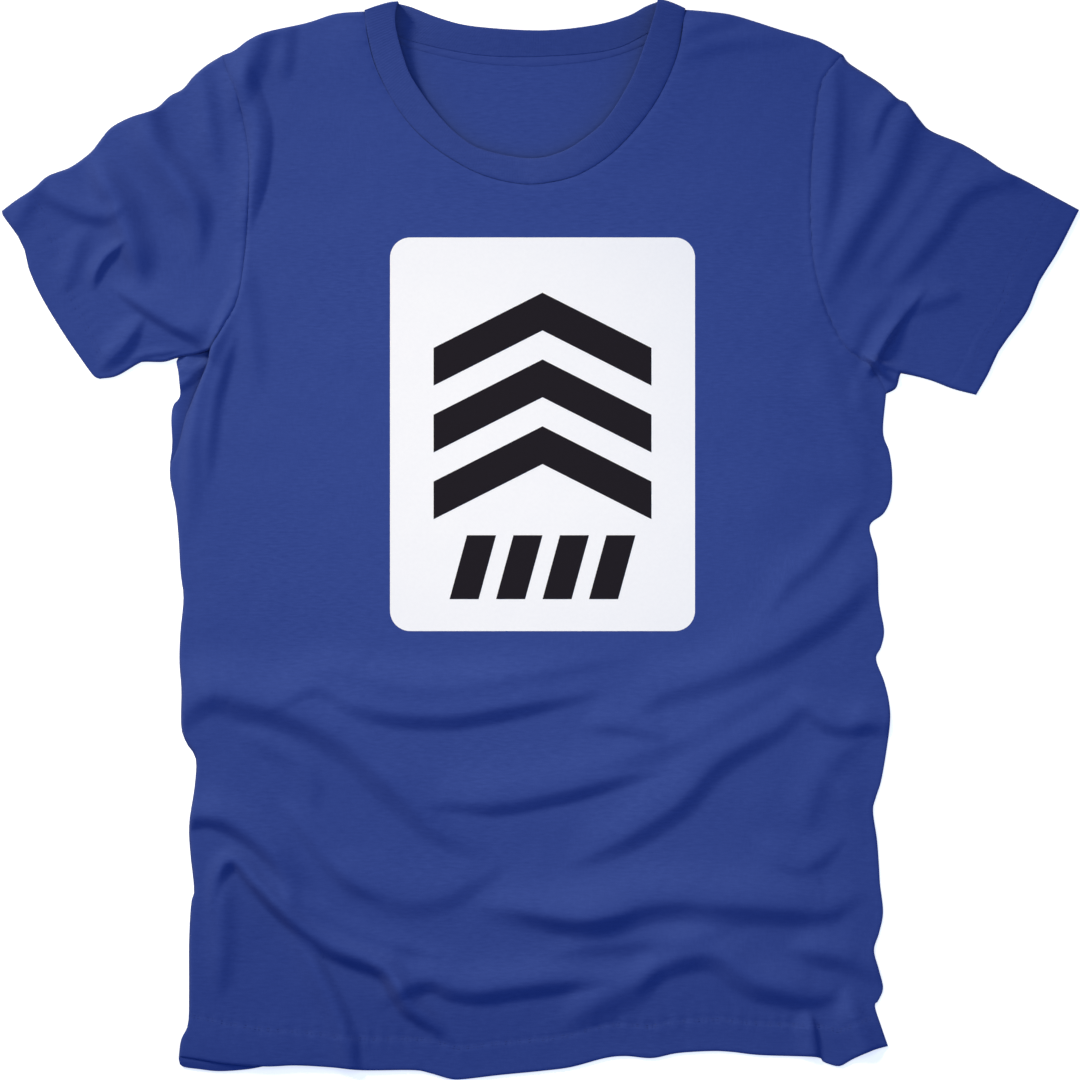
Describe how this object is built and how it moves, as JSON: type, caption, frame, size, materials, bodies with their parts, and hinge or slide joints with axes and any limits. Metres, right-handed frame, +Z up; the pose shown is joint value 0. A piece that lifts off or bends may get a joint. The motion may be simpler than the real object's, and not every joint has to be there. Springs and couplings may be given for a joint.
{
  "type": "t-shirt",
  "caption": "Short-sleeved crew-neck T-shirt in blue cotton jersey with a printed chest panel, laid flat with its front up.",
  "frame": {"origin": "centre of the bounding box's underside: the middle of the shirt, on the table it lies on", "axes": "+Z up out of the front of the shirt, +Y towards the collar, +X to the right as the front is looked at"},
  "size_m": [0.743, 0.7462, 0.0107],
  "materials": {
    "jersey": "matte",
    "rib": "matte",
    "tape": "matte",
    "white_ink": "matte",
    "dark_ink": "matte"
  },
  "bodies": {
    "root": {"front_panel": "jersey", "back_panel": "jersey", "left_sleeve": "jersey", "right_sleeve": "jersey", "neckband": "rib", "neck_tape": "tape", "print_panel": "white_ink", "print_motifs": "dark_ink"}
  },
  "joints": []
}
